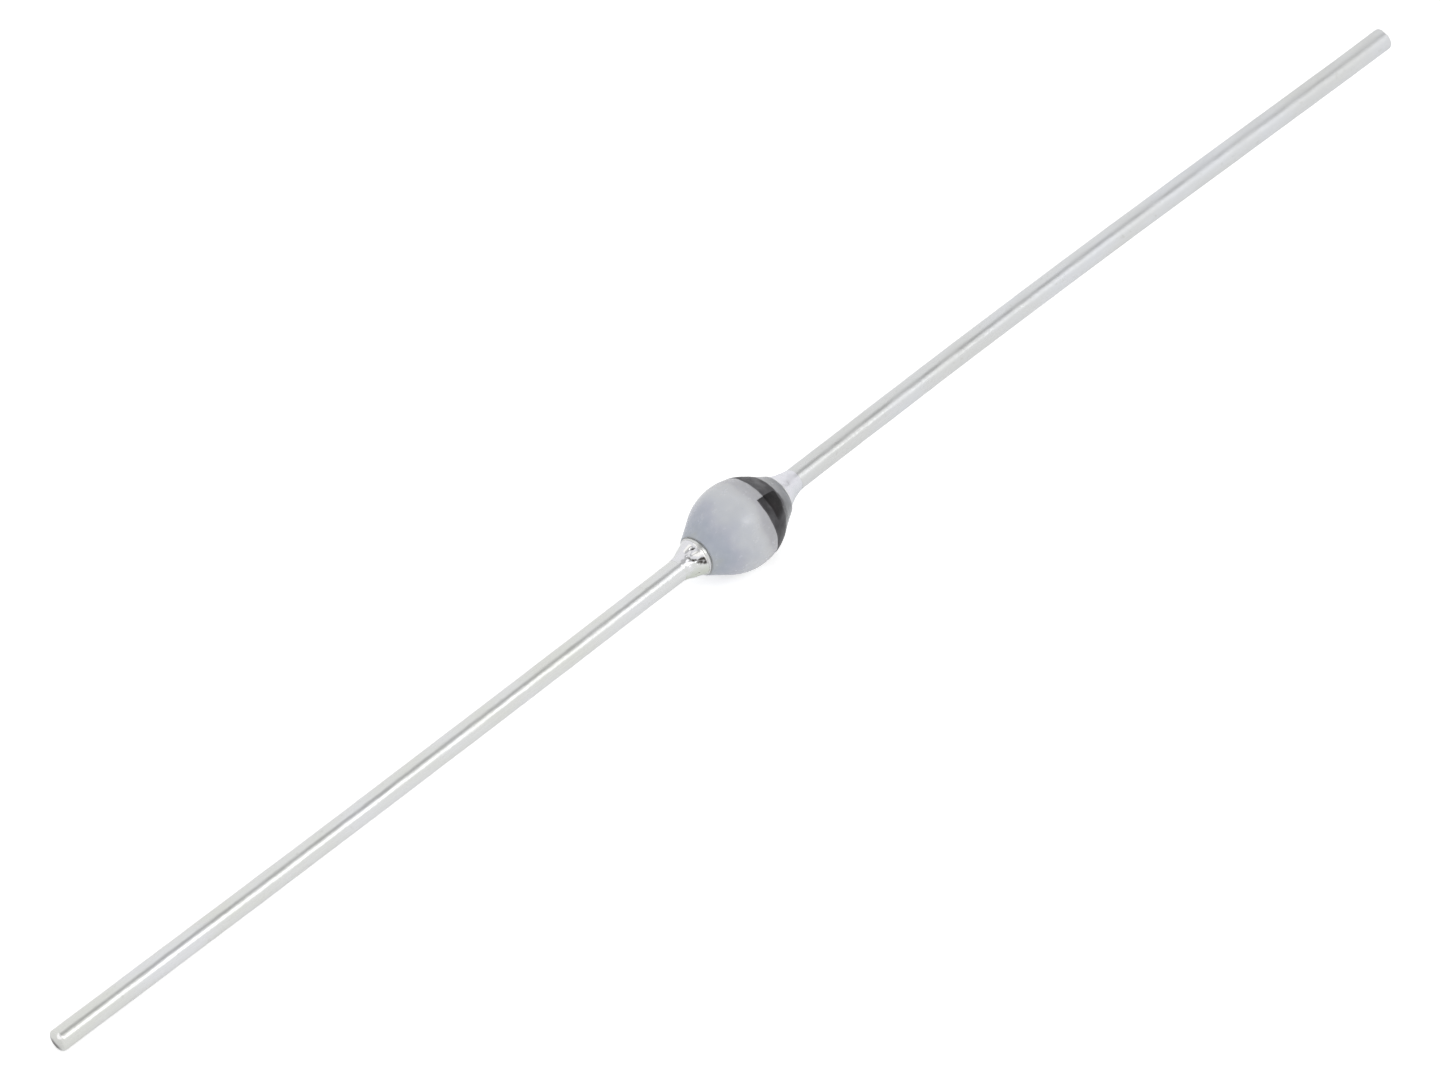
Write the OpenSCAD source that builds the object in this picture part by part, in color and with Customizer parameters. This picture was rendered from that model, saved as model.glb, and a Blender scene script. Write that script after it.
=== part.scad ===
// Axial rectifier diode in a sintered glass bead, lying along the X axis.
// The origin is the centre of the bead. The cathode, marked by the band, is at +X.
// Two metal slugs hold the silicon die between them, the glass is sintered
// round all three, and a tinned copper lead is brazed to the face of each slug.
// Every piece is a turned form, so each one is a radius-against-height profile
// that is revolved and then laid along X.

/* [Leads] */
// Diameter of the tinned copper lead wires
lead_d = 0.81; // [0.6:0.01:0.9]
// Free length of each lead, from the end of the bead to the cut tip
lead_len = 29.3; // [10:0.1:40]
// Radius left on the rim of the cut tip
tip_edge_r = 0.08; // [0.02:0.01:0.2]

/* [Glass bead] */
// Largest diameter of the bead, at its middle
bead_d = 3.14; // [2.7:0.01:3.6]
// Length of the glass, from end to end
bead_len = 3.76; // [3:0.01:4.6]
// Radius of the crowned middle, which runs into the two straight shoulders
crown_r = 2.06; // [1:0.01:2.6]
// Thickness of the glass lip that grips the rim of each slug
lip_t = 0.05; // [0.04:0.01:0.12]
// Radius of the fire-polished edge of the lip
lip_edge_r = 0.04; // [0.02:0.01:0.06]

/* [Slugs and braze] */
// Diameter of the two slugs that the glass is sealed to
slug_d = 1.42; // [1.3:0.01:1.8]
// How far each slug stands out of the glass
slug_proud = 0.06; // [0.04:0.01:0.2]
// Radius of the slug's outer rim, which the braze stops short of
slug_edge_r = 0.03; // [0.01:0.005:0.04]
// Length of the braze fillet along the lead
fillet_len = 0.84; // [0.5:0.01:1]
// Angle at which the braze runs out onto the lead, in degrees
fillet_contact_a = 8; // [4:0.5:12]

/* [Silicon die] */
// Diameter of the die at its wide face, on the cathode slug
die_d = 1.3; // [1:0.01:1.6]
// Thickness of the die
die_t = 0.24; // [0.15:0.01:0.4]
// Angle of the bevel ground on the die's edge, from the axis, in degrees
die_bevel_a = 15; // [5:1:30]
// Thickness of the aluminium bond on each face of the die
bond_t = 0.03; // [0.01:0.005:0.06]

/* [Cathode band] */
// Width of the ink stripe
band_w = 0.68; // [0.4:0.01:0.9]
// Extra width where the stripe starts, because the ink pools there
band_flare = 0.24; // [0:0.01:0.4]
// How far round the bead that extra width lasts, in degrees
band_flare_a = 80; // [20:1:160]
// Thickness of the ink
band_t = 0.02; // [0.01:0.005:0.04]
// Bare glass left between the stripe's finish and the cathode end of the bead
band_end_gap = 0.44; // [0.2:0.01:0.6]
// How far the stripe drifts along the bead between its start and its finish
band_drift = 0.36; // [0:0.01:0.4]
// Overlap of the stripe's two ends, round the bead, in degrees
band_lap_a = 32; // [8:1:60]
// Where the stripe starts round the bead, in degrees from +Y towards +Z
band_start_a = 111; // [0:1:360]

/* [Hidden] */
$fn = 96;

tin = [0.83, 0.83, 0.81];
braze = [0.78, 0.77, 0.73];
molybdenum = [0.58, 0.58, 0.60];
silicon = [0.27, 0.29, 0.34];
aluminium = [0.80, 0.81, 0.83];
bead_glass = [0.73, 0.73, 0.76];
band_ink = [0.22, 0.21, 0.22];

lead_r = lead_d / 2;
slug_r = slug_d / 2;
bead_r = bead_d / 2;
bead_half = bead_len / 2;
end_r = slug_r + lip_t;          // radius of the glass at each end
slug_face = bead_half + slug_proud;
lead_tip = bead_half + lead_len;

// Crown and shoulders. The crown is an arc centred on the bead's middle plane,
// and the shoulder is its tangent through the corner at the end of the glass.
// The arc can be no flatter than the one that reaches that corner by itself.
drop = bead_r - end_r;
full_arc_r = (bead_half ^ 2 + drop ^ 2) / (2 * drop);
arc_r = min(crown_r, full_arc_r);
arc_c = bead_r - arc_r;          // the arc's centre, measured from the axis
corner_dist = norm([bead_half, end_r - arc_c]);
shoulder_a = 90 - atan2(end_r - arc_c, bead_half) - acos(min(1, arc_r / corner_dist));
shoulder_n = [cos(shoulder_a), sin(shoulder_a)];
tangent_p = [arc_c, 0] + arc_r * shoulder_n;

// The slug starts behind half the die and one bond.
slug_back = die_t / 2 + bond_t;
die_top_d = die_d - 2 * die_t * tan(die_bevel_a);

// The stripe is laid in short lengths, each a little further along the bead
// and each tucked under the next.
band_steps = 18;
band_tuck_a = 1;
band_sweep_a = 360 + band_lap_a;
band_last_x = bead_half - band_end_gap - band_w;

// Lays a form that was revolved about Z along the X axis.
module along_x() {
    rotate([0, 90, 0])
        children();
}

// Turns a form made at the cathode end round to the anode end.
module at_anode_end() {
    mirror([1, 0, 0])
        children();
}

// Outline of half a bead whose surface stands `grow` outside the glass.
module shoulder_outline(grow) {
    corner = [end_r, bead_half] + grow * shoulder_n;
    start = tangent_p + grow * shoulder_n;
    intersection() {
        translate([arc_c, 0])
            circle(r = arc_r + grow);
        square([bead_r + grow, start.y]);
    }
    polygon([[0, start.y], start, corner, [0, corner.y]]);
}

// The edge of the lip is an arc that touches the shoulder and the end face.
module half_bead_outline() {
    lip_c = [end_r - lip_edge_r * shoulder_n.x / (1 + shoulder_n.y), bead_half - lip_edge_r];
    lip_start = lip_c + lip_edge_r * shoulder_n;
    difference() {
        shoulder_outline(0);
        polygon([lip_start, [end_r, bead_half] + shoulder_n, [lip_c.x, bead_half + 1], [lip_c.x, bead_half]]);
    }
    translate(lip_c)
        circle(r = lip_edge_r);
}

module bead_solid() {
    rotate_extrude() {
        half_bead_outline();
        mirror([0, 1])
            half_bead_outline();
    }
}

// The slugs, bonds and die as one plug, which the glass is sintered onto.
module sealed_stack() {
    for (side = [0, 1])
        mirror([0, 0, side])
            translate([0, 0, slug_back])
                cylinder(r = slug_r, h = bead_half + 1 - slug_back);
    along_stack_die();
    along_stack_bond(die_d, die_t / 2);
    along_stack_bond(die_top_d, -slug_back);
}

module along_stack_die() {
    translate([0, 0, -die_t / 2])
        cylinder(d1 = die_top_d, d2 = die_d, h = die_t);
}

module along_stack_bond(d, start) {
    translate([0, 0, start])
        cylinder(d = d, h = bond_t);
}

module glass_body() {
    color(bead_glass)
        along_x()
            difference() {
                bead_solid();
                sealed_stack();
            }
}

// One short length of the stripe: `sweep_a` round, starting at `start_x`, `w` wide.
module band_length(start_x, w, sweep_a) {
    rotate_extrude(angle = sweep_a)
        difference() {
            intersection() {
                shoulder_outline(band_t);
                translate([0, start_x])
                    square([bead_d, w]);
            }
            shoulder_outline(0);
        }
}

// Share of the extra width that is left at `a` degrees from the stripe's start.
function flare_share(a) = a < band_flare_a ? (1 + cos(180 * a / band_flare_a)) / 2 : 0;

module cathode_band() {
    step_a = band_sweep_a / band_steps;
    first_x = band_last_x - band_drift;
    color(band_ink)
        along_x()
            for (i = [0 : band_steps - 1])
                rotate([0, 0, band_start_a + 90 + i * step_a])
                    band_length(
                        first_x + band_drift * i / (band_steps - 1),
                        band_w + band_flare * flare_share(i * step_a),
                        step_a + band_tuck_a
                    );
}

module silicon_die() {
    color(silicon)
        along_x()
            along_stack_die();
}

module anode_bond_disc() {
    color(aluminium)
        along_x()
            along_stack_bond(die_top_d, -slug_back);
}

module cathode_bond_disc() {
    color(aluminium)
        along_x()
            along_stack_bond(die_d, die_t / 2);
}

// A round bar from 0 to `len` whose far rim is rounded.
module bar_outline(r, len, edge_r) {
    square([r, len - edge_r]);
    square([r - edge_r, len]);
    translate([r - edge_r, len - edge_r])
        circle(r = edge_r);
}

module slug() {
    color(molybdenum)
        along_x()
            translate([0, 0, slug_back])
                rotate_extrude()
                    bar_outline(slug_r, slug_face - slug_back, slug_edge_r);
}

module anode_slug() {
    at_anode_end()
        slug();
}

module cathode_slug() {
    slug();
}

// A ring of braze round the lead's foot. Its concave face is an arc that runs from
// the flat of the slug out to the lead, where it arrives at the contact angle.
module braze_fillet() {
    base_w = slug_r - slug_edge_r - lead_r;
    out = [cos(fillet_contact_a), sin(fillet_contact_a)];
    face_r = (base_w ^ 2 + fillet_len ^ 2) / (2 * (base_w * out.x - fillet_len * out.y));
    color(braze)
        along_x()
            translate([0, 0, slug_face])
                rotate_extrude()
                    difference() {
                        translate([lead_r, 0])
                            square([base_w, fillet_len]);
                        translate([lead_r, fillet_len] + face_r * out)
                            circle(r = face_r);
                    }
}

module anode_braze_fillet() {
    at_anode_end()
        braze_fillet();
}

module cathode_braze_fillet() {
    braze_fillet();
}

module lead() {
    color(tin)
        along_x()
            translate([0, 0, slug_face])
                rotate_extrude()
                    bar_outline(lead_r, lead_tip - slug_face, tip_edge_r);
}

module anode_lead() {
    at_anode_end()
        lead();
}

module cathode_lead() {
    lead();
}

glass_body();
cathode_band();
silicon_die();
anode_bond_disc();
cathode_bond_disc();
anode_slug();
cathode_slug();
anode_braze_fillet();
cathode_braze_fillet();
anode_lead();
cathode_lead();
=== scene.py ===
"""Axial rectifier diode: the finish of every surface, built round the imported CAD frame.

Everything is in metres, in the frame of the CAD model: the origin is the centre of the
glass bead, the leads lie along X, and the cathode with its band is at +X. Angles round
the axis run from +Y towards +Z, and names that end in _A are in degrees. `side` is -1 at
the anode and +1 at the cathode.
"""

import math

import bpy
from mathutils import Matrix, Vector, noise


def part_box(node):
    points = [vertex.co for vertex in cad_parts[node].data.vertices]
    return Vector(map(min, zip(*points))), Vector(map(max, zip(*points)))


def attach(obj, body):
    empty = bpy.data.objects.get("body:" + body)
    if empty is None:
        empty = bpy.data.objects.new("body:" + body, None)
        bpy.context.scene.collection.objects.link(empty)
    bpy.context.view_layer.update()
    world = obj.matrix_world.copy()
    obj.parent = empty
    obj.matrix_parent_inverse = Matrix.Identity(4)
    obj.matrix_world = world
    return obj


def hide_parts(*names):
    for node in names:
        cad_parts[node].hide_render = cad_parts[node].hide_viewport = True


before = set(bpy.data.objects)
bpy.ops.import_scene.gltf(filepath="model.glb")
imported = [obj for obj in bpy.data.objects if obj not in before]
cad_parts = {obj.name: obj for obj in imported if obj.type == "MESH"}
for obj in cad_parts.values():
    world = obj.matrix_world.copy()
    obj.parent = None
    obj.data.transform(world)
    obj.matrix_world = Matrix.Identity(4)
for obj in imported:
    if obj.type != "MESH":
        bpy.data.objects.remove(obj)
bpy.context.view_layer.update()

MM = 0.001

# ---------------------------------------------------------------- sizes from the frame


def reach(node):
    """How far a CAD node goes along +-X from the origin, and its largest radius."""
    low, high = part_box(node)
    return max(-low.x, high.x), max(high.y, high.z)


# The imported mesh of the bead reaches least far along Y, so its radius is taken there.
BEAD_HALF = reach("glass_body")[0]
BEAD_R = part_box("glass_body")[1].y
SLUG_FACE, SLUG_R = reach("cathode_slug")
FILLET_END, FILLET_R = reach("cathode_braze_fillet")
LEAD_TIP, LEAD_R = reach("cathode_lead")
BAND_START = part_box("cathode_band")[0].x

# ---------------------------------------------------------------- sizes as in the CAD model

SLUG_EDGE_R = 0.03 * MM
TIP_EDGE_R = 0.08 * MM

# The bead's outline: a crown arc and two straight shoulders, with a lip at each end.
CROWN_R = 2.06 * MM
LIP_T = 0.05 * MM
LIP_EDGE_R = 0.04 * MM
END_R = SLUG_R + LIP_T
ARC_C = BEAD_R - CROWN_R
SHOULDER_TILT = (
    math.pi / 2
    - math.atan2(END_R - ARC_C, BEAD_HALF)
    - math.acos(CROWN_R / math.hypot(BEAD_HALF, END_R - ARC_C))
)
TANGENT_X = CROWN_R * math.sin(SHOULDER_TILT)
TANGENT_R = ARC_C + CROWN_R * math.cos(SHOULDER_TILT)

# The braze's concave face: an arc that arrives at the lead at the contact angle.
CONTACT_A = 8
CONTACT_SIN = math.sin(math.radians(CONTACT_A))
CONTACT_COS = math.cos(math.radians(CONTACT_A))
FILLET_LEN = FILLET_END - SLUG_FACE
FILLET_W = FILLET_R - LEAD_R
FACE_SPAN = FILLET_W * CONTACT_COS - FILLET_LEN * CONTACT_SIN
FACE_ARC_R = (FILLET_W**2 + FILLET_LEN**2) / (2 * FACE_SPAN)
FACE_ARC_X = FILLET_END + FACE_ARC_R * CONTACT_SIN
FACE_ARC_C = LEAD_R + FACE_ARC_R * CONTACT_COS

# The ink stripe: where it starts, how far its ends lap, how far it drifts along the bead,
# and the extra width where it starts.
BAND_START_A = 111
BAND_LAP_A = 32
BAND_SWEEP_A = 360 + BAND_LAP_A
BAND_DRIFT = 0.36 * MM
BAND_W = 0.68 * MM
BAND_FLARE = 0.24 * MM
BAND_FLARE_A = 80

# ---------------------------------------------------------------- this diode's own marks

# The finished glass lies this far inside the CAD surface, so that its waves and ink stay within.
SINK = 0.01 * MM
GLASS_WAVE_H = 0.005 * MM
GLASS_WAVE_SIZE = 1.6 * MM
GLASS_SEED = 3
GLASS_END_FADE = 0.3 * MM

# The anode's lip is drawn back on one side, where the fired glass ran thin.
LIP_DRAW = 0.08 * MM
LIP_DRAW_REACH = 0.35 * MM
LIP_DRAW_SPREAD_A = 62

# Marks lie along lines. Each point of a line is its distance from the slug, its angle, half
# its width and its weight, with the distance and the width in millimetres.
MARKS_A = 121

# Drops on the anode's braze, which get a painted highlight, its creases, which get painted shade,
# and its swollen side.
ANODE_DROPS = [
    [(0.36, 78, 0.07, 1.0), (0.17, 80, 0.08, 1.1)],
    [(0.38, 97, 0.025, 0.5), (0.26, 96, 0.025, 0.5)],
    [(0.27, 111, 0.07, 0.8), (0.16, 118, 0.1, 1.0), (0.07, 124, 0.06, 0.8)],
    [(0.0, 88, 0.06, 0.7), (0.0, 110, 0.06, 0.9), (0.0, 150, 0.06, 0.9)],
]
ANODE_CREASES = [
    [
        (0.45, 102, 0.05, 0.5),
        (0.42, 116, 0.05, 0.6),
        (0.36, 128, 0.045, 1.0),
        (0.24, 136, 0.045, 0.6),
    ],
    [(0.24, 136, 0.045, 0.6), (0.1, 139, 0.05, 1.3), (0.055, 148, 0.06, 1.0)],
    [(0.23, 90, 0.03, 0.5), (0.16, 94, 0.045, 1.1), (0.1, 98, 0.03, 0.6)],
    [(0.27, 144, 0.09, 0.6), (0.1, 152, 0.1, 0.85)],
    [(0.44, 192, 0.05, 0.35), (0.33, 188, 0.04, 0.4)],
]
ANODE_SWELLS = [
    [(0.8, 208, 0.16, 0.5), (0.45, 208, 0.22, 1.1), (0.15, 208, 0.16, 0.7)],
]
DROP_H = 0.045 * MM
CREASE_D = 0.045 * MM
SWELL_H = 0.05 * MM

# Darker patches on the glass past the stripe.
CATHODE_DARK_PATCHES = [
    [(-0.46, 136, 0.14, 0.3), (-0.4, 158, 0.2, 0.35)],
    [
        (-0.53, 124, 0.1, 0.6),
        (-0.54, 138, 0.13, 0.9),
        (-0.58, 152, 0.13, 1.0),
        (-0.63, 170, 0.12, 0.8),
    ],
]

# Lumps all over both brazes, taken at one radius. All relief fades out at the slug and at
# the far end, where the braze meets its neighbours. A foot over 1 stays plain a little
# longer at the slug.
BRAZE_MID_R = 0.55 * MM
BRAZE_LUMP_SIZE, BRAZE_LUMP_H = 0.42 * MM, 0.032 * MM
BRAZE_GRAIN_SIZE, BRAZE_GRAIN_H = 0.15 * MM, 0.012 * MM
BRAZE_GRAIN_SEED = 9
BRAZE_PLAIN_FOOT = 1.02

# The wires' unevenness: long soft lumps and finer ones, and how far the surface is set in
# to make room for them.
WIRE_LUMP_SIZE, WIRE_LUMP_STRETCH, WIRE_LUMP_H = 0.8 * MM, 3.0, 0.0035 * MM
WIRE_GRAIN_SIZE, WIRE_GRAIN_STRETCH, WIRE_GRAIN_H = 0.3 * MM, 2.0, 0.002 * MM
WIRE_GRAIN_SEED = 5
WIRE_SINK = 0.002 * MM

# Where the rim of each tip gets painted shade on its underside, and where it gets a painted glint
# near its top.
PAINTED_RIM_SHADE_A, PAINTED_RIM_SHADE_SPREAD_A = -72, 55
PAINTED_RIM_GLINT_A, PAINTED_RIM_GLINT_SPREAD_A = 113, 18

# The leads bow in one plane, towards -Y and down. The cathode's bow is given in millimetres
# by the factors of the rising powers of the share of the lead's length. Those five came
# from a program's least-squares fit, and weren't chosen by hand.
BOW_WAY = (-0.854, -0.521)
ANODE_LEAN = 0.033 * MM
ANODE_BOW = 0.055 * MM
CATHODE_BOW = (-0.054, -0.252, -0.113, 1.301, -0.812)

# How high the ink stands on the sunk glass: at its rim, inside its rim, and as it climbs to
# its finish so as to lie over its own start. Its underside is hidden in the glass. The
# slopes say how steeply it rises, in shares of its turn and of its width.
INK_RIM_H = 0.002 * MM
INK_H = 0.008 * MM
INK_CLIMB = 0.004 * MM
INK_RAGGED_H = 0.001 * MM
INK_ROOT = 0.03 * MM
INK_END_SLOPE = 60
INK_SIDE_SLOPE = 12

# How far the stripe's two edges wander, in how many waves, and how fast it widens over its
# last fifth.
FIRST_WANDER, FIRST_WAVES, FIRST_SEED = 0.03 * MM, 30, 1.7
LAST_WANDER, LAST_WAVES, LAST_SEED = 0.035 * MM, 36, 5.1
RUN_OUT = 0.25 * MM
RUN_OUT_FROM = 0.8
RAGGED_WAVES = 50

# How softly the ink's layers end at its first edge, its last edge and its finish. The last
# edge is smeared over part of the turn, and the finish is a slope in shares of the turn.
FIRST_SOFT = 0.1 * MM
LAST_SOFT = 0.08 * MM
SMEARED_SOFT = 0.22 * MM
SMEARED_FROM_A, SMEARED_TO_A = 25, 120
FINISH_SLOPE = 20

# The extra layer where the ink pools, and how far round it lasts.
POOL = 0.5
POOL_A = 200

# ---------------------------------------------------------------- mesh counts

GLASS_FACETS = 192
CROWN_STEPS = 40
SHOULDER_STEPS = 24
LIP_STEPS = 8
SLUG_FACETS = 160
SLUG_EDGE_STEPS = 6
BRAZE_FACETS = 200
BRAZE_STEPS = 60
WIRE_FACETS = 64
WIRE_STEP = 0.055 * MM
TIP_EDGE_STEPS = 8
STRIPE_TURNS = 360
STRIPE_ACROSS = 16

# ---------------------------------------------------------------- light and camera

# How brightly the room lights the object. The camera sees the room at 1, and so do metal
# and glass apart from the gap.
ROOM_LIGHT = 0.86

# The dimmer gap between two softboxes that metal and glass reflect: the brightness against
# the angle round the axis, in half turns.
ROOM_GAP = [(0.0, 1.0), (0.38, 1.0), (0.46, 0.6), (0.56, 0.55), (0.6, 1.0), (1.0, 1.0)]

TABLE_HALF = 0.6
TABLE_SHADE = 0.9
TABLE_GLOW_TO_METAL = 0.16
TABLE_GLOW_TO_CAMERA = 0.47

CAMERA_AZIMUTH_A = -45
CAMERA_ELEVATION_A = 49.23
CAMERA_DISTANCE = 0.566
CAMERA_LENS = 425.5
CAMERA_SENSOR = 36
CAMERA_RIGHT = -0.545 * MM
CAMERA_UP = -0.469 * MM
CAMERA_CLIP = (0.05, 5)

# ---------------------------------------------------------------- mesh helpers


def linked(name, data):
    """A new object in the scene for a mesh, a lamp or a camera."""
    item = bpy.data.objects.new(name, data)
    bpy.context.scene.collection.objects.link(item)
    return item


def surface(name, rings, capped):
    """A mesh from rings of points, all of the same count, joined by quads.

    Either its two ends are capped, or its last ring is joined to its first.
    """
    count = len(rings[0])
    points = [p for ring in rings for p in ring]
    faces = []
    pairs = len(rings) - 1 if capped else len(rings)
    for i in range(pairs):
        a, b = i * count, (i + 1) % len(rings) * count
        for j in range(count):
            k = (j + 1) % count
            faces.append((a + j, a + k, b + k, b + j))
    if capped:
        last = (len(rings) - 1) * count
        faces.append(tuple(range(count - 1, -1, -1)))
        faces.append(tuple(range(last, last + count)))
    mesh = bpy.data.meshes.new(name)
    mesh.from_pydata(points, [], faces)
    mesh.validate()
    mesh.polygons.foreach_set("use_smooth", [True] * len(mesh.polygons))
    mesh.update()
    return linked(name, mesh)


def ring(x, r, facets, rise=None):
    """Points round the axis at x. rise(x, angle) is added to the radius."""
    points = []
    for j in range(facets):
        angle = 2 * math.pi * j / facets
        radius = r + (rise(x, angle) if rise else 0)
        points.append((x, radius * math.cos(angle), radius * math.sin(angle)))
    return points


def bowed(points, off):
    """A ring of points moved by `off` in the way that the leads bow."""
    return [(x, y + off * BOW_WAY[0], z + off * BOW_WAY[1]) for x, y, z in points]


def arc(centre_x, centre_r, radius, start, stop, steps):
    """Points (x, r) along an arc. The angles run from the outward radial towards +X."""
    points = []
    for i in range(steps + 1):
        a = start + (stop - start) * i / steps
        points.append((centre_x + radius * math.sin(a), centre_r + radius * math.cos(a)))
    return points


def lumps(x, angle, size, seed, r=LEAD_R, stretch=1.0):
    """Smooth noise from -1 to 1 on a surface of radius r, in lumps about `size` across."""
    place = Vector((x / stretch, r * math.cos(angle), r * math.sin(angle))) / size
    return noise.noise(place + Vector((seed * 7.31, seed * 3.17, seed * 5.73))) * 1.6


def clamp(value):
    """The value, held between 0 and 1."""
    return min(1.0, max(0.0, value))


def falloff(distance, width):
    """1 at no distance, and next to nothing beyond twice the width."""
    return math.exp(-((distance / width) ** 2))


def angle_of(place):
    """The angle of a place round the axis, in radians."""
    return math.atan2(place.z, place.y)


def turn_from(start, place):
    """How far round the axis a place is from a start, in degrees from -180 to 180."""
    return (math.degrees(angle_of(place)) - start + 180) % 360 - 180


def on_lines(x, angle, lines, r):
    """How strongly the nearest of some lines is felt at a place on a surface of radius r."""
    strongest = 0.0
    turn = (angle - math.radians(MARKS_A) + math.pi) % (2 * math.pi) - math.pi
    here = Vector(((abs(x) - SLUG_FACE) / MM, turn * r / MM))
    for line in lines:
        for first, last in zip(line, line[1:]):
            start = Vector((first[0], math.radians(first[1] - MARKS_A) * r / MM))
            stop = Vector((last[0], math.radians(last[1] - MARKS_A) * r / MM))
            way = stop - start
            share = clamp((here - start).dot(way) / way.length_squared)
            off = (here - start - way * share).length
            width = first[2] + (last[2] - first[2]) * share
            weight = first[3] + (last[3] - first[3]) * share
            strongest = max(strongest, weight * falloff(off, width))
    return strongest


def mark_points(piece, name, value_at):
    """Stores value_at(place) on each point of a piece, for its material to read."""
    layer = piece.data.attributes.new(name, "FLOAT", "POINT")
    for point, mark in zip(piece.data.vertices, layer.data):
        mark.value = value_at(point.co)


def dress(piece, material, slot, *nodes):
    """Gives a piece its material and its body, and hides the CAD nodes that it stands for. `slot`
    is not used.
    """
    piece.data.materials.append(material)
    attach(piece, "root")
    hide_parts(*nodes)


# ---------------------------------------------------------------- node helpers


def colour(red, green, blue):
    """A colour given as it looks on a screen, from 0 to 255, as linear light."""

    def linear(value):
        value /= 255
        return value / 12.92 if value < 0.04045 else ((value + 0.055) / 1.055) ** 2.4

    return (linear(red), linear(green), linear(blue), 1)


class Nodes:
    """Short calls for building the node tree of a material or of the world."""

    def __init__(self, owner):
        self.owner = owner
        owner.use_nodes = True
        self.tree = owner.node_tree
        self.tree.nodes.clear()

    def add(self, kind, inputs=None, **settings):
        node = self.tree.nodes.new(kind)
        for key, value in settings.items():
            setattr(node, key, value)
        for key, value in (inputs or {}).items():
            self.feed(node.inputs[key], value)
        return node

    def feed(self, socket, value):
        if isinstance(value, bpy.types.NodeSocket):
            self.tree.links.new(value, socket)
        else:
            socket.default_value = value

    def coordinates(self, kind):
        return self.add("ShaderNodeTexCoord").outputs[kind]

    def axes(self, vector):
        """The parts of a vector, by the names X, Y and Z."""
        return self.add("ShaderNodeSeparateXYZ", {"Vector": vector}).outputs

    def math(self, operation, first, second=0.0):
        return self.add("ShaderNodeMath", {0: first, 1: second}, operation=operation).outputs[0]

    def spread(self, value, low, high, out_low=0.0, out_high=1.0, curve="SMOOTHSTEP"):
        """The value, brought from one range to another and held inside it."""
        inputs = {0: value, 1: low, 2: high, 3: out_low, 4: out_high}
        return self.add("ShaderNodeMapRange", inputs, interpolation_type=curve).outputs[0]

    def ramp(self, value, *stops):
        """A colour ramp. Each stop is a position and a colour or a grey."""
        node = self.add("ShaderNodeValToRGB", {"Fac": value})
        marks = node.color_ramp.elements
        while len(marks) < len(stops):
            marks.new(0.5)
        for mark, (position, shade) in zip(marks, stops):
            mark.position = position
            mark.color = shade if isinstance(shade, tuple) else (shade, shade, shade, 1)
        return node.outputs["Color"]

    def mix(self, factor, first, second):
        """A colour between two colours."""
        inputs = {0: factor, 6: first, 7: second}
        return self.add("ShaderNodeMix", inputs, data_type="RGBA").outputs[2]

    def mix_numbers(self, factor, first, second):
        """A number between two numbers."""
        return self.add("ShaderNodeMix", {0: factor, 2: first, 3: second}).outputs[0]

    def looked_at(self):
        """1 for what the camera, metal and glass see, and 0 for what lights the object."""
        path = self.add("ShaderNodeLightPath")
        total = path.outputs["Is Camera Ray"]
        for name in ("Is Glossy Ray", "Is Transmission Ray"):
            total = self.math("MAXIMUM", total, path.outputs[name])
        return total


class Finish(Nodes):
    """A principled material, whose patterns are fixed in the coordinates of its piece."""

    def __init__(self, name):
        super().__init__(bpy.data.materials.new(name))
        self.place = self.coordinates("Object")

    def noise(self, size, detail=2.0, roughness=0.5, place=None):
        """Noise from 0 to 1 whose lumps are about `size` metres across."""
        inputs = {
            "Vector": place or self.place,
            "Scale": 1 / size,
            "Detail": detail,
            "Roughness": roughness,
        }
        return self.add("ShaderNodeTexNoise", inputs).outputs["Fac"]

    def stretched(self, x, y, z):
        """The object's coordinates, divided by x, y and z."""
        inputs = {"Vector": self.place, "Scale": (1 / x, 1 / y, 1 / z)}
        return self.add("ShaderNodeMapping", inputs).outputs["Vector"]

    def attribute(self, name):
        """A value that mark_points stored on the piece."""
        return self.add("ShaderNodeAttribute", attribute_name=name).outputs["Fac"]

    def wander(self, value, pattern, width):
        """The value, shifted either way by a pattern from 0 to 1."""
        shift = self.math("MULTIPLY", self.math("SUBTRACT", pattern, 0.5), width)
        return self.math("ADD", value, shift)

    def bump(self, height, distance, under=None):
        """Relief of some distance, laid over the relief `under`."""
        inputs = {"Height": height, "Distance": distance, "Strength": 1.0}
        if under:
            inputs["Normal"] = under
        return self.add("ShaderNodeBump", inputs).outputs["Normal"]

    def finish(self, inputs):
        """The material, once its shader is given its inputs."""
        shader = self.add("ShaderNodeBsdfPrincipled", inputs)
        self.add("ShaderNodeOutputMaterial", {"Surface": shader.outputs["BSDF"]})
        return self.owner


# ---------------------------------------------------------------- materials


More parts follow.
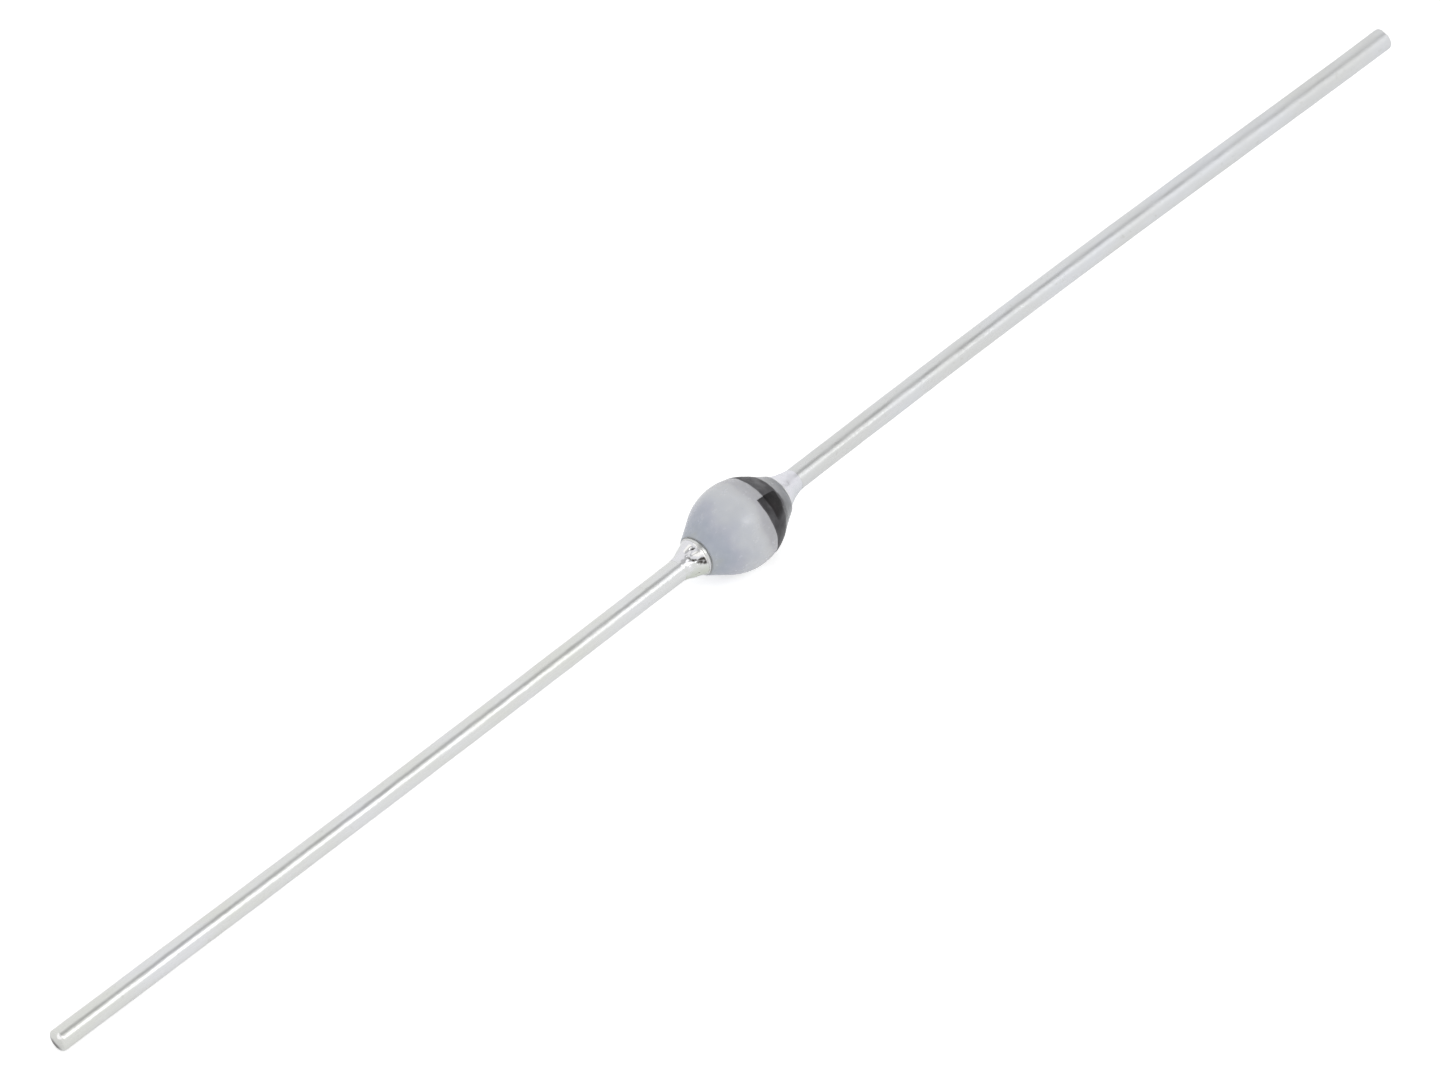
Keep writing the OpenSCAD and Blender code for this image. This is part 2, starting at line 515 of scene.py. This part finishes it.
def tinned_copper(name, cool, warm, roughness, frost):
    """Bright tin plate: draw lines, lumps and tinted patches, with painted shade and a painted
    glint on the rim of the tip. `frost` adds roughness at the tip.
    """
    n = Finish(name)
    patches = n.noise(1.3 * MM, detail=3.0, place=n.stretched(2.5, 1, 1))
    tint = n.ramp(patches, (0.35, cool), (0.62, warm))
    pitted = n.spread(n.noise(0.18 * MM), 0.62, 0.8, 0.0, 0.35)
    shade = n.mix(pitted, tint, colour(188, 188, 182))
    # Painted light on the tip's rim: painted shade on its underside, and a painted glint near its
    # top.
    cut = n.attribute("cut")
    painted_rim_shade = n.spread(n.math("MULTIPLY", cut, -1.0), 0.1, 0.9)
    shade = n.mix(painted_rim_shade, shade, colour(138, 136, 136))
    painted_rim_glint = n.spread(cut, 0.15, 0.8)
    shade = n.mix(painted_rim_glint, shade, colour(255, 255, 254))
    draw_lines = n.noise(0.05 * MM, detail=3.0, place=n.stretched(14, 1, 1))
    relief = n.bump(draw_lines, 0.0012 * MM)
    relief = n.bump(n.noise(0.35 * MM), 0.006 * MM, under=relief)
    relief = n.bump(n.noise(0.11 * MM), 0.0035 * MM, under=relief)
    cloud = n.noise(0.4 * MM, place=n.stretched(3, 1, 1))
    polish = n.spread(cloud, 0.3, 0.75, roughness * 0.7, roughness * 1.3)
    along = n.math("ABSOLUTE", n.axes(n.place)["X"])
    frosted = n.spread(along, 0.4 * LEAD_TIP, 0.8 * LEAD_TIP, 0.0, frost)
    rough = n.math("ADD", polish, frosted)
    return n.finish({"Base Color": shade, "Metallic": 1.0, "Roughness": rough, "Normal": relief})


def braze_metal(name, painted_lit_top, painted_shaded_underside, roughness):
    """Bright braze, with painted highlights on its drops, painted light on its top and painted
    shade underneath, and dull with brown painted shade in its creases.
    """
    n = Finish(name)
    patches = n.spread(n.noise(0.1 * MM, detail=3.0), 0.3, 0.6, 0.6, 1.3)
    # Painted shade in the creases: dark brown colour there, with less metal and more roughness.
    painted_crease_shade = n.spread(n.math("MULTIPLY", n.attribute("painted_crease_shade"), patches), 0.15, 0.95)
    cloud = n.noise(0.3 * MM, detail=3.0)
    # Painted light and shade: the braze's colour goes from a darker underside to a lighter top.
    height = n.wander(n.axes(n.place)["Z"], cloud, 0.8 * MM)
    lit_and_shaded = n.mix(n.spread(height, -0.1 * MM, 0.5 * MM), painted_shaded_underside, painted_lit_top)
    # Painted highlight: the braze is coloured almost white on its drops.
    painted_drop_highlight = n.spread(n.attribute("drop"), 0.25, 0.7)
    with_drop_highlights = n.mix(painted_drop_highlight, lit_and_shaded, colour(249, 248, 246))
    shade = n.mix(painted_crease_shade, with_drop_highlights, colour(52, 48, 42))
    relief = n.bump(n.noise(0.12 * MM, detail=3.0), 0.006 * MM)
    polish = n.spread(cloud, 0.4, 0.7, roughness * 0.7, roughness * 1.4)
    rough = n.math("ADD", n.math("MULTIPLY", painted_crease_shade, 0.35), polish)
    metal = n.math("SUBTRACT", 1.0, n.math("MULTIPLY", painted_crease_shade, 0.85))
    return n.finish({"Base Color": shade, "Metallic": metal, "Roughness": rough, "Normal": relief})


def molybdenum():
    """The rim of a slug, wetted by the braze."""
    n = Finish("molybdenum")
    shade = n.ramp(n.noise(0.2 * MM), (0.3, colour(220, 220, 222)), (0.7, colour(206, 207, 204)))
    turned = n.noise(0.02 * MM, place=n.stretched(1, 20, 20))
    relief = n.bump(turned, 0.002 * MM)
    return n.finish({"Base Color": shade, "Metallic": 1.0, "Roughness": 0.16, "Normal": relief})


def glass_tone_and_painted_shade(n):
    """The glass's tone from the anode end at 0 to the cathode end at 1, bluer at the anode, with
    painted light and shade: lightest a little before the middle, darker towards both ends and
    darkest at the cathode.
    """
    place = n.wander(n.axes(n.place)["X"], n.noise(1.1 * MM), 1.4 * MM)
    # Painted light and shade along the bead: lightest near 0.41, and darker towards both ends.
    return n.ramp(
        n.spread(place, -BEAD_HALF, BEAD_HALF, curve="LINEAR"),
        (0.0, colour(172, 177, 182)),
        (0.02, colour(169, 175, 185)),
        (0.1, colour(170, 176, 188)),
        (0.21, colour(182, 185, 196)),
        (0.31, colour(194, 197, 203)),
        (0.41, colour(200, 202, 206)),
        (0.49, colour(193, 194, 197)),
        (0.55, colour(178, 178, 183)),
        (0.8, colour(160, 160, 163)),
        (0.93, colour(141, 142, 145)),
        (1.0, colour(128, 130, 134)),
    )


def fired_glass():
    """Opaque fired glass, with faint mottling, painted light in a pale ring at the slugs, darker
    patches past the stripe, and its tone along the bead.
    """
    n = Finish("fired_glass")
    mottle = n.noise(0.28 * MM, detail=4.0, roughness=0.6)
    mottled = n.spread(mottle, 0.4, 0.75, 0.0, 0.2)
    shade = n.mix(mottled, glass_tone_and_painted_shade(n), colour(206, 208, 214))
    specks = n.spread(n.noise(0.035 * MM, detail=1.0), 0.72, 0.78, 0.0, 0.5)
    shade = n.mix(specks, shade, colour(150, 150, 158))
    axes = n.axes(n.place)
    squares = [n.math("MULTIPLY", axes[axis], axes[axis]) for axis in "YZ"]
    radius = n.math("SQRT", n.math("ADD", *squares))
    # Painted light: the glass is paler right next to the slugs, which lightens the shade in the
    # groove there.
    painted_groove_light = n.spread(radius, SLUG_R + 0.015 * MM, SLUG_R + 0.04 * MM, 1.0, 0.0)
    shade = n.mix(painted_groove_light, shade, colour(200, 202, 203))
    shade = n.mix(n.attribute("dark_patch"), shade, colour(76, 77, 80))
    relief = n.bump(n.noise(0.5 * MM), 0.012 * MM)
    relief = n.bump(n.noise(0.05 * MM), 0.0012 * MM, under=relief)
    inputs = {
        "Base Color": shade,
        "Roughness": n.spread(mottle, 0.3, 0.7, 0.2, 0.28),
        "IOR": 1.55,
        "Subsurface Weight": 0.12,
        "Subsurface Radius": (0.2, 0.22, 0.28),
        "Subsurface Scale": 0.5 * MM,
        "Normal": relief,
    }
    return n.finish(inputs)


def marking_ink():
    """Black ink: thin and grey where one layer lies on the glass, and darkest where two lap."""
    n = Finish("marking_ink")
    layers = n.attribute("layers")
    thin = n.noise(0.5 * MM, detail=4.0, roughness=0.62)
    single = n.ramp(
        thin,
        (0.3, colour(62, 61, 64)),
        (0.5, colour(84, 83, 86)),
        (0.7, colour(104, 104, 107)),
    )
    double = n.ramp(thin, (0.35, colour(16, 15, 17)), (0.65, colour(30, 26, 28)))
    faint = n.mix(n.spread(layers, 0.1, 1.0), colour(146, 147, 150), single)
    shade = n.mix(n.spread(layers, 1.0, 2.0), faint, double)
    relief = n.bump(n.noise(0.09 * MM, detail=3.0), 0.005 * MM)
    rough = n.spread(n.noise(0.3 * MM), 0.3, 0.7, 0.4, 0.55)
    inputs = {"Base Color": shade, "Roughness": rough, "Specular IOR Level": 0.16, "Normal": relief}
    return n.finish(inputs)


def plain_inner(name, shade, metallic, roughness):
    """A finish for a piece sealed inside the glass."""
    n = Finish(name)
    darker = (*(part * 0.8 for part in shade[:3]), 1)
    worn = n.mix(n.noise(0.15 * MM, detail=3.0), shade, darker)
    relief = n.bump(n.noise(0.04 * MM), 0.002 * MM)
    inputs = {"Base Color": worn, "Metallic": metallic, "Roughness": roughness, "Normal": relief}
    return n.finish(inputs)


# ---------------------------------------------------------------- the bead and its stripe


def bead_radius(x):
    """Radius of the plain bead at x, without its lip's round edge."""
    x = abs(x)
    if x < TANGENT_X:
        return ARC_C + math.sqrt(CROWN_R**2 - x**2)
    return TANGENT_R - (x - TANGENT_X) * math.tan(SHOULDER_TILT)


def half_outline():
    """Points (x, r) of the cathode half of the bead, from its middle to the bore at its end."""
    lip_r = END_R - LIP_EDGE_R * math.cos(SHOULDER_TILT) / (1 + math.sin(SHOULDER_TILT))
    crown = arc(0, ARC_C, CROWN_R, 0, SHOULDER_TILT, CROWN_STEPS)
    lip = arc(BEAD_HALF - LIP_EDGE_R, lip_r, LIP_EDGE_R, SHOULDER_TILT, math.pi / 2, LIP_STEPS)
    shoulder = []
    for i in range(1, SHOULDER_STEPS):
        share = i / SHOULDER_STEPS
        shoulder.append(tuple(a + (b - a) * share for a, b in zip(crown[-1], lip[0])))
    return crown + shoulder + lip + [(BEAD_HALF, SLUG_R)]


def glass_bead(material):
    """The bead, with its lips rounded by the fire, sealed onto a bore of the slugs' size."""
    half = half_outline()
    outline = [(-x, r) for x, r in reversed(half)] + half[1:]

    def rise(x, angle):
        wave = lumps(x, angle, GLASS_WAVE_SIZE, GLASS_SEED, BEAD_R) * GLASS_WAVE_H
        return (wave - SINK) * clamp((BEAD_HALF - abs(x)) / GLASS_END_FADE)

    rings = [ring(x, r, GLASS_FACETS, rise) for x, r in outline[1:-1]]
    rings.insert(0, ring(-BEAD_HALF, SLUG_R, GLASS_FACETS))
    rings.append(ring(BEAD_HALF, SLUG_R, GLASS_FACETS))
    piece = surface("glass_bead", rings, capped=False)
    draw_back_lip(piece.data)
    mark_points(piece, "dark_patch", dark_patch_at)
    dress(piece, material, "bead_glass", "glass_body")


def draw_back_lip(mesh):
    """Draws the anode's lip back up its shoulder on one side."""
    for point in mesh.vertices:
        fade = clamp((-BEAD_HALF + LIP_DRAW_REACH - point.co.x) / LIP_DRAW_REACH)
        back = LIP_DRAW * fade * falloff(turn_from(MARKS_A, point.co), LIP_DRAW_SPREAD_A)
        r = math.hypot(point.co.y, point.co.z)
        outside_bore = r > SLUG_R * 1.001
        grow = 1 + (back * math.tan(SHOULDER_TILT) / r if outside_bore else 0)
        point.co = (point.co.x + back, point.co.y * grow, point.co.z * grow)


def dark_patch_at(place):
    """How dark the glass is made at a place past the stripe."""
    return on_lines(place.x, angle_of(place), CATHODE_DARK_PATCHES, SLUG_R) if place.x > 0 else 0.0


def stripe_edges(share):
    """Where the stripe starts and ends along X. share is 0 at its start and 1 at its finish."""
    turned = share * BAND_SWEEP_A
    flare = 0.5 + 0.5 * math.cos(math.pi * min(1.0, turned / BAND_FLARE_A) ** 1.5)
    first = BAND_START + BAND_DRIFT * share
    last = first + BAND_W + BAND_FLARE * flare
    first += noise.noise(Vector((share * FIRST_WAVES, FIRST_SEED, 0))) * FIRST_WANDER
    last += noise.noise(Vector((share * LAST_WAVES, LAST_SEED, 0))) * LAST_WANDER
    last += max(0.0, share - RUN_OUT_FROM) * RUN_OUT
    return first, last


def stripe_ring(share):
    """The stripe's section at a share of its turn: across its top, and back under it."""
    angle = math.radians(BAND_START_A + BAND_SWEEP_A * share)
    first, last = stripe_edges(share)
    ragged = noise.noise(Vector((0.3, share * RAGGED_WAVES, 2.2)))
    end_fade = min(1.0, share * INK_END_SLOPE, (1 - share) * INK_END_SLOPE)
    top, under = [], []
    for j in range(STRIPE_ACROSS + 1):
        u = j / STRIPE_ACROSS
        x = first + (last - first) * u
        skin = min(1.0, u * INK_SIDE_SLOPE, (1 - u) * INK_SIDE_SLOPE) * end_fade
        height = INK_RIM_H + INK_CLIMB * share + INK_H * skin + INK_RAGGED_H * ragged
        top.append((x, bead_radius(x) - SINK + height))
        under.append((x, bead_radius(x) - INK_ROOT))
    outline = top + under[::-1]
    return [(x, r * math.cos(angle), r * math.sin(angle)) for x, r in outline]


def stripe(material):
    """The ink stripe: one strip round the bead whose two ends overlap."""
    rings = [stripe_ring(i / STRIPE_TURNS) for i in range(STRIPE_TURNS + 1)]
    piece = surface("cathode_stripe", rings, capped=True)
    mark_points(piece, "layers", ink_layers)
    dress(piece, material, "band_ink", "cathode_band")


def ink_layers(place):
    """How many layers of ink lie at a place: near 2 where the ends lap, and 1.5 where it pools."""
    turned = (math.degrees(angle_of(place)) - BAND_START_A) % 360
    total = 0.0
    for around in (turned, turned + 360):
        share = around / BAND_SWEEP_A
        first, last = stripe_edges(min(1.0, share))
        last_soft = SMEARED_SOFT if SMEARED_FROM_A < around < SMEARED_TO_A else LAST_SOFT
        inside = min(
            (place.x - first) / FIRST_SOFT,
            (last - place.x) / last_soft,
            (1 - share) * FINISH_SLOPE,
        )
        pooled = POOL * max(0.0, 1 - around / POOL_A)
        total += clamp(0.5 + inside) * (1 + pooled)
    return total


# ---------------------------------------------------------------- slugs, braze and leads

# The rings of these pieces are put in order of X, so that their faces look outwards.


def slug_rim(side, node, material):
    """The slug, with the rounded rim that stands out of the glass."""
    inner = abs(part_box(node)[0 if side > 0 else 1].x)
    edge = (SLUG_FACE - SLUG_EDGE_R, SLUG_R - SLUG_EDGE_R, SLUG_EDGE_R)
    outline = [(inner, SLUG_R), (BEAD_HALF, SLUG_R)]
    outline += arc(*edge, 0, math.pi / 2, SLUG_EDGE_STEPS)
    outline.append((SLUG_FACE, LEAD_R * 0.5))
    rings = [ring(side * x, r, SLUG_FACETS) for x, r in outline]
    piece = surface(node + "_metal", rings[::side], capped=True)
    dress(piece, material, "molybdenum", node)


def fillet_radius(x):
    """Radius of the plain braze at x."""
    return FACE_ARC_C - math.sqrt(FACE_ARC_R**2 - (x - FACE_ARC_X) ** 2)


def braze(side, node, material, seed, lumpiness, bow, drops=(), creases=(), swells=()):
    """Lumpy braze from the face of the slug out along the lead, with its drops and creases."""

    def rise(x, angle):
        to_end = clamp((FILLET_END - abs(x)) / FILLET_LEN)
        fade = math.sin(math.pi * min(1.0, to_end * BRAZE_PLAIN_FOOT)) ** 0.5
        relief = lumps(x, angle, BRAZE_LUMP_SIZE, seed, BRAZE_MID_R) * BRAZE_LUMP_H
        grain_seed = seed + BRAZE_GRAIN_SEED
        relief += lumps(x, angle, BRAZE_GRAIN_SIZE, grain_seed, BRAZE_MID_R) * BRAZE_GRAIN_H
        relief *= lumpiness
        relief += on_lines(x, angle, drops, BRAZE_MID_R) * DROP_H
        relief -= on_lines(x, angle, creases, BRAZE_MID_R) * CREASE_D
        relief += on_lines(x, angle, swells, BRAZE_MID_R) * SWELL_H
        return relief * fade

    inside_lead = LEAD_R * 0.8
    rings = [ring(side * SLUG_FACE, inside_lead, BRAZE_FACETS)]
    for i in range(BRAZE_STEPS + 1):
        x = SLUG_FACE + FILLET_LEN * i / BRAZE_STEPS
        rings.append(ring(side * x, fillet_radius(x), BRAZE_FACETS, rise))
    rings.append(ring(side * FILLET_END, inside_lead, BRAZE_FACETS))

    def lean(points):
        """The braze leans over to its lead's foot along the first half of its length."""
        share = (abs(points[0][0]) - SLUG_FACE) / FILLET_LEN
        return bow(0) * min(1.0, share * 2)

    rings = [bowed(points, lean(points)) for points in rings]
    piece = surface(node + "_metal", rings[::side], capped=False)
    # Painted shade for the creases.
    mark_points(piece, "painted_crease_shade", lambda p: on_lines(p.x, angle_of(p), creases, BRAZE_MID_R))
    # A painted highlight for the drops.
    mark_points(piece, "drop", lambda p: on_lines(p.x, angle_of(p), drops, BRAZE_MID_R))
    dress(piece, material, "braze", node)


def bow_anode(share):
    """How far the anode lead strays from straight. share is 0 at the slug and 1 at the tip."""
    return ANODE_LEAN * share + ANODE_BOW * math.sin(math.pi * share)


def bow_cathode(share):
    """The cathode lead leaves its slug a little off centre, and comes back near its tip."""
    return sum(factor * share**power for power, factor in enumerate(CATHODE_BOW)) * MM


def lead(side, node, material, seed, bow):
    """A tinned wire, faintly uneven and bowed, ending square, with painted shade and a painted
    glint on the rim of its tip.
    """
    straight = LEAD_TIP - TIP_EDGE_R - SLUG_FACE
    count = int(straight / WIRE_STEP)

    def rise(x, angle):
        soft = lumps(x, angle, WIRE_LUMP_SIZE, seed, stretch=WIRE_LUMP_STRETCH)
        grain_seed = seed + WIRE_GRAIN_SEED
        fine = lumps(x, angle, WIRE_GRAIN_SIZE, grain_seed, stretch=WIRE_GRAIN_STRETCH)
        return soft * WIRE_LUMP_H + fine * WIRE_GRAIN_H - WIRE_SINK

    shank = [(SLUG_FACE + straight * i / count, LEAD_R) for i in range(count + 1)]
    edge = (LEAD_TIP - TIP_EDGE_R, LEAD_R - TIP_EDGE_R, TIP_EDGE_R)
    outline = shank + arc(*edge, 0, math.pi / 2, TIP_EDGE_STEPS)[1:]
    rings = [ring(side * x, r, WIRE_FACETS, rise) for x, r in outline]
    rings += [ring(side * LEAD_TIP, LEAD_R * share, WIRE_FACETS) for share in (0.6, 0.3, 0.05)]

    def off(points):
        return bow((abs(points[0][0]) - SLUG_FACE) / (LEAD_TIP - SLUG_FACE))

    rings = [bowed(points, off(points)) for points in rings]
    piece = surface(node + "_wire", rings[::side], capped=True)
    # Painted shade and a painted glint for the rim of the tip.
    mark_points(piece, "cut", cut_at)
    dress(piece, material, "tinned_copper", node)


def cut_at(place):
    """Painted light on the rim of a tip: painted shade below 0, and a painted glint above 0."""
    on_face = math.hypot(place.y, place.z) < 0.5 * LEAD_R
    if abs(place.x) < LEAD_TIP - TIP_EDGE_R or on_face:
        return 0.0
    painted_rim_glint = falloff(turn_from(PAINTED_RIM_GLINT_A, place), PAINTED_RIM_GLINT_SPREAD_A)
    return painted_rim_glint - falloff(turn_from(PAINTED_RIM_SHADE_A, place), PAINTED_RIM_SHADE_SPREAD_A)


# ---------------------------------------------------------------- floor, light and camera


def sky():
    """A soft, even room, which looks white. Metal and glass see one dimmer gap in it."""
    world = bpy.data.worlds.new("room")
    bpy.context.scene.world = world
    n = Nodes(world)
    axes = n.axes(n.coordinates("Generated"))
    half_turns = n.math("DIVIDE", n.math("ARCTAN2", axes["Z"], axes["Y"]), math.pi)
    reflected = n.add("ShaderNodeLightPath").outputs["Is Glossy Ray"]
    seen = n.mix_numbers(reflected, 1.0, n.ramp(half_turns, *ROOM_GAP))
    strength = n.mix_numbers(n.looked_at(), ROOM_LIGHT, seen)
    background = n.add("ShaderNodeBackground", {"Color": (1, 1, 1, 1), "Strength": strength})
    n.add("ShaderNodeOutputWorld", {"Surface": background.outputs["Background"]})


def table_white():
    """Matt and pale. It glows for the camera, and less for metal, so that it looks white."""
    n = Nodes(bpy.data.materials.new("table_white"))
    shade = (TABLE_SHADE, TABLE_SHADE, TABLE_SHADE, 1)
    diffuse = n.add("ShaderNodeBsdfDiffuse", {"Color": shade})
    to_camera = n.add("ShaderNodeLightPath").outputs["Is Camera Ray"]
    glows = (TABLE_GLOW_TO_METAL, TABLE_GLOW_TO_CAMERA)
    lift = n.spread(to_camera, 0.0, 1.0, *glows, curve="LINEAR")
    shown = n.math("MULTIPLY", n.looked_at(), lift)
    glow = n.add("ShaderNodeEmission", {"Color": (1, 1, 1, 1), "Strength": shown})
    both = n.add("ShaderNodeAddShader", {0: diffuse.outputs[0], 1: glow.outputs[0]})
    n.add("ShaderNodeOutputMaterial", {"Surface": both.outputs[0]})
    return n.owner


def floor():
    """A white table. The diode lies on its bead and on the tip of the anode lead."""
    tilt = math.atan2(BEAD_R - LEAD_R, LEAD_TIP)
    drop = -BEAD_R / math.cos(tilt)
    corners = [(-1, -1), (1, -1), (1, 1), (-1, 1)]
    places = [(x * TABLE_HALF, y * TABLE_HALF) for x, y in corners]
    points = [(x, y, drop - x * math.tan(tilt)) for x, y in places]
    mesh = bpy.data.meshes.new("table")
    mesh.from_pydata(points, [], [(0, 1, 2, 3)])
    table = linked("table", mesh)
    table.data.materials.append(table_white())


def face(item, back):
    """Turns a lamp or the camera, whose back is in the direction `back`, to look at the bead."""
    item.rotation_mode = "QUATERNION"
    item.rotation_quaternion = back.to_track_quat("Z", "Y")


def softbox(name, direction, distance, size, watts):
    """A lamp at a distance from the bead, facing it."""
    lamp = bpy.data.lights.new(name, "AREA")
    lamp.shape = "RECTANGLE"
    lamp.size, lamp.size_y = size
    lamp.energy = watts
    item = linked(name, lamp)
    back = Vector(direction).normalized()
    item.location = back * distance
    face(item, back)


def camera():
    """Looks down on the diode from the anode's side, from far enough for a mild perspective."""
    azimuth = math.radians(CAMERA_AZIMUTH_A)
    elevation = math.radians(CAMERA_ELEVATION_A)
    back = Vector(
        (
            math.sin(azimuth) * math.cos(elevation),
            -math.cos(azimuth) * math.cos(elevation),
            math.sin(elevation),
        )
    )
    right = Vector((math.cos(azimuth), math.sin(azimuth), 0))
    up = back.cross(right)
    data = bpy.data.cameras.new("camera")
    data.sensor_width = CAMERA_SENSOR
    data.lens = CAMERA_LENS
    data.clip_start, data.clip_end = CAMERA_CLIP
    item = linked("camera", data)
    target = right * CAMERA_RIGHT + up * CAMERA_UP
    item.location = target + back * CAMERA_DISTANCE
    face(item, back)
    bpy.context.scene.camera = item


# ---------------------------------------------------------------- the scene

camera()
sky()
floor()
softbox("strip", (0.13, -0.573, 0.809), distance=0.35, size=(0.07, 0.12), watts=0.08)
softbox("wing", (0.315, -0.61, 0.73), distance=0.17, size=(0.068, 0.068), watts=0.0086)

anode_tin = tinned_copper(
    "anode_tin",
    cool=colour(221, 222, 224),
    warm=colour(217, 218, 214),
    roughness=0.23,
    frost=0.0,
)
cathode_tin = tinned_copper(
    "cathode_tin",
    cool=colour(215, 217, 220),
    warm=colour(212, 213, 212),
    roughness=0.31,
    frost=0.14,
)
# Each braze gets a lighter colour for its top and a darker one for its underside, as painted light
# and shade.
anode_braze = braze_metal(
    "anode_braze",
    painted_lit_top=colour(224, 224, 228),
    painted_shaded_underside=colour(206, 210, 201),
    roughness=0.16,
)
cathode_braze = braze_metal(
    "cathode_braze",
    painted_lit_top=colour(226, 226, 232),
    painted_shaded_underside=colour(210, 213, 217),
    roughness=0.36,
)
slug_finish = molybdenum()

dull_silicon = (0.03, 0.035, 0.05, 1)
aluminium = (0.6, 0.61, 0.63, 1)
inner_finish = {
    "silicon_die": plain_inner("silicon", dull_silicon, metallic=0.3, roughness=0.3),
    "anode_bond_disc": plain_inner("anode_bond", aluminium, metallic=1.0, roughness=0.35),
    "cathode_bond_disc": plain_inner("cathode_bond", aluminium, metallic=1.0, roughness=0.35),
}
for node_name, finish in inner_finish.items():
    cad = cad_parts[node_name]
    cad.data.materials.clear()
    cad.data.materials.append(finish)

glass_bead(fired_glass())
stripe(marking_ink())
slug_rim(-1, "anode_slug", slug_finish)
slug_rim(1, "cathode_slug", slug_finish)
braze(
    -1,
    "anode_braze_fillet",
    anode_braze,
    seed=2,
    lumpiness=0.7,
    bow=bow_anode,
    drops=ANODE_DROPS,
    creases=ANODE_CREASES,
    swells=ANODE_SWELLS,
)
braze(1, "cathode_braze_fillet", cathode_braze, seed=6, lumpiness=0.35, bow=bow_cathode)
lead(-1, "anode_lead", anode_tin, seed=1, bow=bow_anode)
lead(1, "cathode_lead", cathode_tin, seed=4, bow=bow_cathode)

bpy.context.scene.view_settings.view_transform = "Standard"
